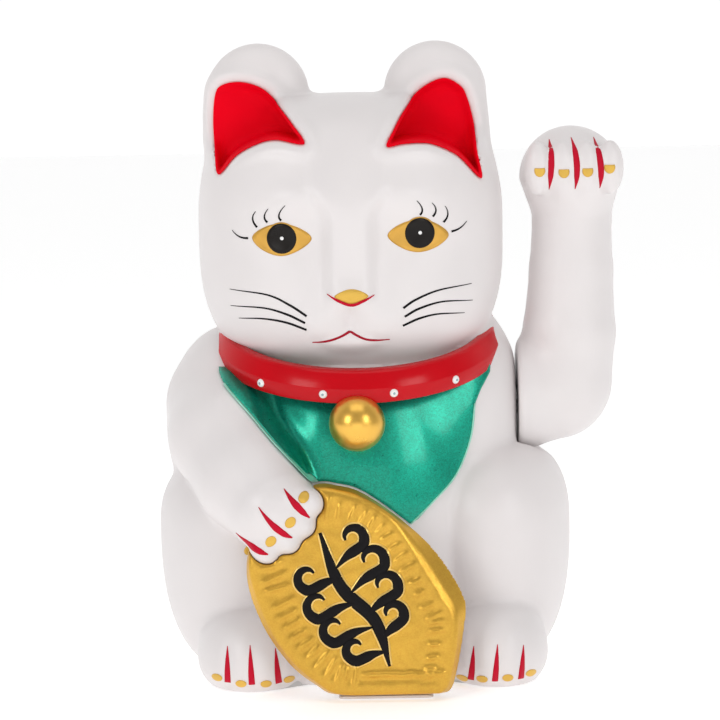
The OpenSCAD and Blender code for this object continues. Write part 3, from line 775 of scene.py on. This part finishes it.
STUD_COUNT = 13
STUD_OUT, STUD_DOWN = 0.75, 1.6
HIDDEN_NEAR_SIDE = 6
stud_dome = [(0.05, -0.6), (1.25, -0.6), (1.3, 0.35), (1.18, 0.62), (0.85, 0.85), (0.5, 0.93),
             (0.05, 0.95)]
dot_dome = [(0.03, 0.7), (0.42, 0.7), (0.4, 1.0), (0.25, 1.06), (0.03, 1.08)]
studs, dots = [], []
for i in range(STUD_COUNT):
    a = 2 * math.pi * (i + 0.5) / STUD_COUNT - math.pi / 2
    x, y = (COLLAR_X + STUD_OUT) * math.cos(a), (COLLAR_Y + STUD_OUT) * math.sin(a)
    if abs(x) > COLLAR_X - HIDDEN_NEAR_SIDE:
        continue
    z = COLLAR_Z + COLLAR_RISE * (y + COLLAR_Y) - STUD_DOWN
    at = (COLLAR_AT[0] + x, COLLAR_AT[1] + y, z)
    outward = Vector((math.cos(a) / COLLAR_X, math.sin(a) / COLLAR_Y, -0.1 / COLLAR_X))
    tilt = outward.to_track_quat("Z", "Y").to_matrix()
    studs.append(lathe(stud_dome, at, sides=28, tilt=tilt))
    dots.append(lathe(dot_dome, at, sides=20, tilt=tilt))
piece("visual_studs", *merged(studs), stud_white, "body", "stud_white", ["collar_studs"])
piece("stud_centres", *merged(dots), stud_dot, "body", "stud_white")

angles = np.radians(np.linspace(-89, 89, 49))
ball = [(BELL_R * math.cos(a), BELL_R * math.sin(a)) for a in angles]
piece("visual_bell", *lathe(ball, BELL_AT, sides=96), gold_bell, "body", "bell_gold", ["bell"])

# ---------------------------------------------------------------- bib
BIB_BRIDGE = 4.5
BIB_PROUD, BIB_BURIED = 0.75, 1.1
BIB_BACK_Y = -14


def bib_chest(p):
    """The surface under the bib, bridging the crease beside the forearm."""
    chest = smin(body_plain(p), limb(p, FOREARM, FOREARM_BLEND), BIB_BRIDGE)
    return chest - 1.3 * bump((p[0] + 15) / 8, (p[2] - 83) / 9)


def bib_field(p):
    """The bib's skin: a layer over the chest inside the outline, below the collar."""
    x, y, z = p
    chest = bib_chest(p)
    f = smax(chest - BIB_PROUD, -(chest + BIB_BURIED), 0.3)
    f = smax(f, bib_outline(x, z), 0.7)
    under_collar = z - (COLLAR_Z - 2.5 + COLLAR_RISE * (y - COLLAR_AT[1] + COLLAR_Y))
    f = smax(f, under_collar, 0.3)
    f = smax(f, y - BIB_BACK_Y, 0.3)
    cx, cv, out = coin_axes(p)
    f = smax(f, 0.2 - np.maximum(coin_back(cx, cv), -out - 30), 0.3)
    bell = np.sqrt((x - BELL_AT[0]) ** 2 + (y - BELL_AT[1]) ** 2 + (z - BELL_AT[2]) ** 2)
    return smax(f, BELL_R + 0.15 - bell, 0.3)


bib_mesh = net(bib_field, *BIB_BOX, BIB_CELL * coarser)
piece("visual_bib", *bib_mesh, green, "body", "bib_green", ["bib"])

# ---------------------------------------------------------------- coin
class Relief:
    """The height of the coin's hammered face over its plane, kept as a table."""

    def __init__(self, cell=0.25):
        self.cell = cell
        self.low = np.array([-38.0, -34.0])
        self.x, self.v = np.meshgrid(np.arange(-38, 38, cell), np.arange(-34, 40, cell),
                                     indexing="ij")
        inner = coin_face(self.x, self.v)
        # A raised border with a rounded edge, and a slight unevenness all over
        self.table = 0.35 * step(inner, -5.5, -2.5) - 0.5 * step(inner, -1.5, 0.5)
        self.table += 0.06 * np.sin(0.9 * self.x + 2 * np.sin(0.31 * self.v)) * np.sin(
            0.8 * self.v + 1.7 * np.sin(0.4 * self.x))

    def ridge(self, at, heading, length, height=0.75, width=0.7):
        """Adds one hammered mark."""
        x, v = self.x - at[0], self.v - at[1]
        along = x * math.cos(heading) + v * math.sin(heading)
        across = -x * math.sin(heading) + v * math.cos(heading)
        self.table += height * bump((along / length) ** 2, across / width)

    def __call__(self, x, v):
        i = np.clip((x - self.low[0]) / self.cell, 0, self.table.shape[0] - 1.001)
        j = np.clip((v - self.low[1]) / self.cell, 0, self.table.shape[1] - 1.001)
        a, b = i.astype(int), j.astype(int)
        i, j = i - a, j - b
        t = self.table
        return ((t[a, b] * (1 - i) + t[a + 1, b] * i) * (1 - j)
                + (t[a, b + 1] * (1 - i) + t[a + 1, b + 1] * i) * j)


relief = Relief()
edge = smooth_loop(COIN_FACE, 10)
edge_step = np.linalg.norm(np.roll(edge, -1, 0) - edge, axis=1)
edge_at = np.concatenate([[0], np.cumsum(edge_step)[:-1]])
draw = np.random.default_rng(7)
TICK_SPACING = 4.1
# Hammered marks point inwards all round the edge, but lie level on the lower right
for s in np.arange(4, edge_step.sum() - 4, TICK_SPACING):
    i = int(np.searchsorted(edge_at, s)) % len(edge)
    tangent = edge[(i + 3) % len(edge)] - edge[i - 3]
    side = np.sign(tangent[1] * edge[i][0] - tangent[0] * edge[i][1])
    inward = math.atan2(side * tangent[0], -side * tangent[1])
    sideways = draw.uniform(-0.12, 0.12)
    lower = edge[i][0] > 0 and edge[i][1] < -2
    heading = (0.12 if lower else inward) + sideways
    inset = 5.4 if edge[i][1] > 8 and edge[i][0] > 0 else 6.2
    middle = edge[i] + inset * np.array([math.cos(inward), math.sin(inward)])
    relief.ridge(middle, heading, draw.uniform(2.4, 4.0) * (0.7 if edge[i][0] > 0 else 1))


def coin_field(p):
    """The coin in its own axes: across, along, out. A hammered face and a wider back."""
    x, v, out = p
    share = np.clip(out / COIN_T, 0, 1)
    rim = coin_face(x, v) * share + coin_back(x, v) * (1 - share)
    f = smax(rim, out - (COIN_T - 0.35 + relief(x, v)), 1.0)
    return smax(f, -out, 0.5)


def coin_place(p):
    """Coin axes to the frame's axes."""
    x, v, out = p
    y = v * math.sin(COIN_LEAN) - out * math.cos(COIN_LEAN) + COIN_AT[1]
    z = v * math.cos(COIN_LEAN) + out * math.sin(COIN_LEAN) + COIN_AT[2]
    return np.stack([x + COIN_AT[0], y, z], -1)


def coin_cut(p):
    """The coin with its foot cut level, and room for the paw."""
    x, y, z = coin_place(p).transpose(-1, *range(len(p[0].shape)))
    f = smax(coin_field(p), COIN_LOW - z, 0.8)
    return smax(f, 0.25 - lowered_arm((x, y, z)), 0.4)


coin_points, coin_faces = net(coin_cut, *COIN_BOX, COIN_CELL * coarser)
coin_points = coin_place(coin_points.T)
piece("visual_coin", coin_points, coin_faces, gold, "body", "coin_gold", ["coin"])

# A generic vine with curled leaves, in the coin's long axes: points and half widths
VINE_AT = (-0.6, 2.6)
VINE = [([(-1.5, -25), (1.8, -11), (-1.8, 4), (1.2, 21)], (0.5, 1.9, 2.1, 1.8, 0.6))]


def leaf(start, side, reach):
    """One curled leaf off the stem, as its points and half widths."""
    curl = 0.16 * reach + 1.5
    middle = (side * (reach - curl), start + 2.4)
    points = [(0, start - 3), (side * 0.38 * reach, start - 1.6)]
    for a in np.linspace(0.1 * math.pi, 1.45 * math.pi, 8):
        r = curl * (1.12 - 0.1 * a)
        points.append((middle[0] + side * r * math.sin(a), middle[1] - r * math.cos(a)))
    return points, (0.4, 1.7, 1.75, 1.6, 1.4, 1.2, 0.9, 0.4)


for start, reach in ((-16, 11), (-7.4, 14), (1.4, 14.5), (10.2, 12.5)):
    VINE.append(leaf(start + 2, 1, reach))
    VINE.append(leaf(start - 1.6, -1, reach))


def vine_points(points):
    """The vine's own axes to the coin's plane."""
    c, s = math.cos(COIN_TURN), math.sin(COIN_TURN)
    return [(a * c - b * s + VINE_AT[0], a * s + b * c + VINE_AT[1]) for a, b in points]


def on_coin(mesh_data):
    """A mesh laid on the coin's face, to the frame's axes."""
    points, faces = mesh_data
    return coin_place((points[:, 0], points[:, 2], -points[:, 1])), faces


def coin_front(p):
    """The coin's field with its face towards -Y."""
    return coin_field((p[0], p[2], -p[1]))


# A pale gold edging lies under each black stroke
edging, strokes = [], []
for points, widths in VINE:
    wide = [w + 0.45 for w in widths]
    line = vine_points(points)
    edging.append(on_coin(stroke_mesh(line, wide, coin_front, 0.3, samples=48)))
    strokes.append(on_coin(stroke_mesh(line, widths, coin_front, 0.62, samples=48)))
piece("coin_vine_edging", *merged(edging), gold_edge, "body", "coin_gold")
piece("coin_vine", *merged(strokes), black, "body", "knob_black")

# ---------------------------------------------------------------- painted marks
EYE_L = [(-33.5, 140.9), (-30.0, 144.0), (-24.4, 145.4), (-18.7, 143.9), (-15.0, 140.7),
         (-18.6, 137.2), (-24.6, 135.3), (-30.5, 137.2)]
EYE_R = [(8.4, 141.2), (12.3, 144.6), (18.5, 146.0), (24.0, 144.2), (27.4, 140.7),
         (23.6, 137.2), (17.7, 135.8), (12.0, 137.6)]
PUPILS = [(-24.3, 140.7), (18.4, 141.7)]
PUPIL_R = 4.8
LASHES = [[(-39.8, 143.0), (-37.6, 141.1), (-34.8, 140.7)],
          [(-32.2, 149.0), (-33.2, 146.7), (-31.9, 144.1)],
          [(-28.3, 149.9), (-29.5, 147.5), (-28.6, 145.7)],
          [(-23.0, 151.0), (-24.9, 148.2), (-24.3, 146.3)],
          [(17.6, 151.8), (19.2, 149.2), (18.5, 147.3)],
          [(22.3, 150.9), (23.5, 148.7), (22.5, 146.6)],
          [(26.4, 149.7), (27.2, 147.0), (25.8, 144.7)],
          [(33.2, 144.6), (31.0, 142.6), (28.3, 141.7)]]
WHISKERS = [[(-41.0, 124.5), (-29.2, 123.3), (-22.1, 120.1), (-17.0, 116.8)],
            [(-40.9, 119.2), (-30.5, 119.1), (-23.4, 117.3), (-17.5, 114.6)],
            [(-38.4, 115.3), (-30.7, 115.6), (-23.5, 114.6), (-17.1, 112.4)],
            [(34.5, 125.0), (24.1, 123.8), (16.9, 121.2), (12.9, 118.7)],
            [(34.8, 119.6), (25.3, 120.1), (18.1, 118.4), (13.3, 116.0)],
            [(32.2, 115.8), (24.0, 116.2), (18.1, 115.2), (12.7, 113.1)]]
NOSE = [(-8.3, 123.0), (-5.9, 124.6), (-2.9, 125.3), (0.2, 124.5), (2.2, 122.9), (-0.2, 121.6),
        (-3.2, 120.7), (-6.1, 121.7)]
NOSE_LINE = [(-10.6, 123.7), (-7.2, 121.7), (-3.1, 120.2), (0.7, 121.5), (4.1, 123.2)]
MOUTH = [[(-15.4, 108.2), (-12.4, 108.4), (-9.3, 109.1), (-6.2, 110.3), (-3.7, 111.7)],
         [(-3.7, 111.7), (-1.2, 110.2), (1.4, 109.1), (4.9, 108.7), (8.6, 108.8)]]
PAW_LINES = [[(-24.6, 66.2), (-20.9, 61.0), (-16.9, 56.9)],
             [(-32.4, 61.0), (-27.2, 54.4), (-22.3, 51.0)],
             [(-39.8, 51.8), (-34.5, 48.1), (-29.8, 46.0)]]
PAW_CLAWS = [(-18.6, 63.4), (-22.8, 55.9), (-28.9, 50.0), (-36.2, 43.6)]
FOOT_LINES = [[(-43.4, 15.3), (-43.6, 3.6)], [(-36.3, 15.9), (-36.0, 3.2)],
              [(-28.5, 14.4), (-27.7, 2.8)], [(33.0, 13.7), (32.0, 2.4)],
              [(40.3, 14.6), (39.4, 2.6)], [(48.5, 13.7), (47.6, 2.8)]]
FOOT_CLAWS = [(-47.0, 4.9), (-39.4, 3.6), (-31.6, 3.3), (-24.5, 3.5), (29.4, 2.4), (35.4, 3.3),
              (43.4, 3.8), (50.9, 4.2)]
ARM_LINES = [[(60.4, 168.4), (60.5, 161.0), (59.8, 152.8)], [(67.2, 169.0), (68.5, 160.8),
             (67.9, 152.9)], [(74.5, 168.8), (76.0, 160.7), (75.8, 153.0)]]
ARM_CLAWS = [(56.8, 158.9), (64.4, 158.4), (71.9, 158.6), (78.8, 159.6)]


def oval(centre, across, upward, turn=0.0, flat_top=False, n=14):
    """A small oval outline, optionally with its top cut off flat like a half moon."""
    out = []
    for a in np.arange(n) * 2 * np.pi / n:
        u, v = across * math.cos(a), upward * math.sin(a)
        v = min(v, upward * 0.45) if flat_top else v
        out.append((centre[0] + u * math.cos(turn) - v * math.sin(turn),
                    centre[1] + u * math.sin(turn) + v * math.cos(turn)))
    return out


def bib_top(p):
    """The bib's outer surface, carried on past its edge."""
    return bib_chest(p) - 0.65


def ear_lining(p):
    """The body with its ears' hollows a little narrower, so that paint lines their walls."""
    return body(p, 1.0)


def decals(name, parts, material, slot, body_name="body"):
    return piece(name, *merged(parts), material, body_name, slot)


# A thin raised bead along the bib's left and right edges, coloured lighter green as a painted
# highlight on those edges
bib_highlight_left = [(x + 0.2, z) for x, z in BIB[2:7]]
bib_highlight_right = [(x - 0.2, z) for x, z in BIB[9:14]]
decals("bib_edge_highlight", [stroke_mesh(bib_highlight_left, (0.28, 0.28), bib_top, 0.35),
                   stroke_mesh(bib_highlight_right, (0.28, 0.28), bib_top, 0.35)], green_edge_highlight, "bib_green")
for side, outline, middle in (("left", EAR_RED_L, (-36, 176)), ("right", EAR_RED_R, (27, 176))):
    hollow = patch_mesh(outline, ear_lining, 0.6, middle, 30, 10, crowd=1.7)
    decals("ear_paint_" + side, [hollow], red_paint, "collar_red")
decals("eyes_gold", [patch_mesh(EYE_L, body, 0.3), patch_mesh(EYE_R, body, 0.3)], gold_eye,
       "bell_gold")
pupil_rings = [patch_mesh(oval(c, PUPIL_R + 0.3, PUPIL_R + 0.25, n=20), body, 0.42) for c in PUPILS]
decals("pupil_rings", pupil_rings, gold_eye, "bell_gold")
pupils = [patch_mesh(oval(c, PUPIL_R, PUPIL_R, n=20), body, 0.62) for c in PUPILS]
decals("pupils", pupils, pupil_black, "knob_black")
glints = [patch_mesh(oval((x + 0.1, z + 0.1), 0.72, 0.72), body, 0.8, rings=3) for x, z in PUPILS]
decals("pupil_glints", glints, stud_white, "stud_white")
lash_taper, whisker_taper = (0.1, 0.24, 0.36), (0.1, 0.24, 0.32, 0.38, 0.36)
decals("lashes", [stroke_mesh(s, lash_taper, body) for s in LASHES], black, "knob_black")
decals("whiskers", [stroke_mesh(s, whisker_taper, body, samples=40) for s in WHISKERS], black,
       "knob_black")
decals("nose_gold", [patch_mesh(NOSE, body, 0.3)], gold_mark, "bell_gold")
decals("nose_line", [stroke_mesh(NOSE_LINE, (0.12, 0.42, 0.5, 0.42, 0.12), body, 0.4)], stroke_red,
       "collar_red")
decals("mouth", [stroke_mesh(MOUTH[0], (0.16, 0.34, 0.36, 0.42), body, 0.35),
                 stroke_mesh(MOUTH[1], (0.42, 0.36, 0.34, 0.16), body, 0.35)], mouth_red,
       "collar_red")
decals("paw_lines", [stroke_mesh(s, (0.1, 0.65, 1.1, 0.95, 0.2), body, 0.3) for s in PAW_LINES],
       stroke_red, "collar_red")
paw_turns = (-0.7, -0.7, -0.75, -0.9)
decals("paw_claws", [patch_mesh(oval(c, 1.5, 1.9, t), body, 0.35) for c, t in
                     zip(PAW_CLAWS, paw_turns)], gold_mark, "bell_gold")
decals("foot_lines", [stroke_mesh(s, (0.1, 0.6, 0.9, 1.0), body, 0.3) for s in FOOT_LINES],
       stroke_red, "collar_red")
decals("foot_claws", [patch_mesh(oval(c, 1.75, 1.3), body, 0.35) for c in FOOT_CLAWS], gold_mark,
       "bell_gold")
decals("arm_lines", [stroke_mesh(s, (0.1, 0.85, 1.0, 0.85, 0.1), raised_arm, 0.3)
                     for s in ARM_LINES], stroke_red, "collar_red", "arm")
arm_claws = [patch_mesh(oval(c, 1.75, 1.9, flat_top=True), raised_arm, 0.35) for c in ARM_CLAWS]
decals("arm_claws", arm_claws, gold_mark, "bell_gold", "arm")

# ---------------------------------------------------------------- stage and light
floor_paint = paint("pale_floor", (0.93, 0.93, 0.93), 0.7, vary=0.004, grain=40, bump=0.004,
                    specular=0.15)
floor_shader = floor_paint.node_tree.nodes["Principled BSDF"]
floor_shader.inputs["Emission Color"].default_value = (1, 1, 1, 1)
floor_shader.inputs["Emission Strength"].default_value = 0.38
floor_mesh = bpy.data.meshes.new("floor")
FLOOR_HALF = 3.0
corners = [(-FLOOR_HALF, -FLOOR_HALF, 0), (FLOOR_HALF, -FLOOR_HALF, 0),
           (FLOOR_HALF, FLOOR_HALF, 0), (-FLOOR_HALF, FLOOR_HALF, 0)]
floor_mesh.from_pydata(corners, [], [(0, 1, 2, 3)])
floor_mesh.materials.append(floor_paint)
floor = bpy.data.objects.new("floor", floor_mesh)
bpy.context.scene.collection.objects.link(floor)

bpy.context.scene.view_settings.view_transform = "Standard"
FRONT_LIGHT, BACK_LIGHT = 0.36, 1.03

world = bpy.data.worlds.new("studio")
world.use_nodes = True
sky, sky_links = world.node_tree.nodes, world.node_tree.links
direction = sky.new("ShaderNodeTexCoord")
parts = sky.new("ShaderNodeSeparateXYZ")
fade = sky.new("ShaderNodeMapRange")
fade.interpolation_type = "SMOOTHSTEP"
fade.inputs["From Min"].default_value = -0.2
fade.inputs["From Max"].default_value = 0.6
fade.inputs["To Min"].default_value = FRONT_LIGHT
fade.inputs["To Max"].default_value = BACK_LIGHT
sky_links.new(direction.outputs["Generated"], parts.inputs["Vector"])
sky_links.new(parts.outputs["Y"], fade.inputs["Value"])
sky_links.new(fade.outputs["Result"], sky["Background"].inputs["Strength"])
sky["Background"].inputs["Color"].default_value = (1, 1, 1, 1)
bpy.context.scene.world = world


def softbox(name, at, aim, width, height, watts, colour=(1, 1, 1)):
    """A rectangular soft light aimed at a point, in metres."""
    data = bpy.data.lights.new(name, "AREA")
    data.shape = "RECTANGLE"
    data.size, data.size_y = width, height
    data.energy = watts
    data.color = colour
    lamp = bpy.data.objects.new(name, data)
    bpy.context.scene.collection.objects.link(lamp)
    lamp.location = at
    lamp.rotation_euler = (Vector(aim) - Vector(at)).to_track_quat("-Z", "Y").to_euler()


chest = (0, 0, 0.1)
softbox("softbox_left", (-0.7, -0.85, 0.5), chest, 0.34, 0.5, 2.5)
softbox("softbox_right", (0.7, -0.85, 0.5), chest, 0.34, 0.5, 2.3)
softbox("softbox_top", (0, -0.25, 0.95), chest, 0.7, 0.5, 1.2)
softbox("softbox_front", (0, -1.3, 0.1), chest, 1.0, 0.4, 1.2)
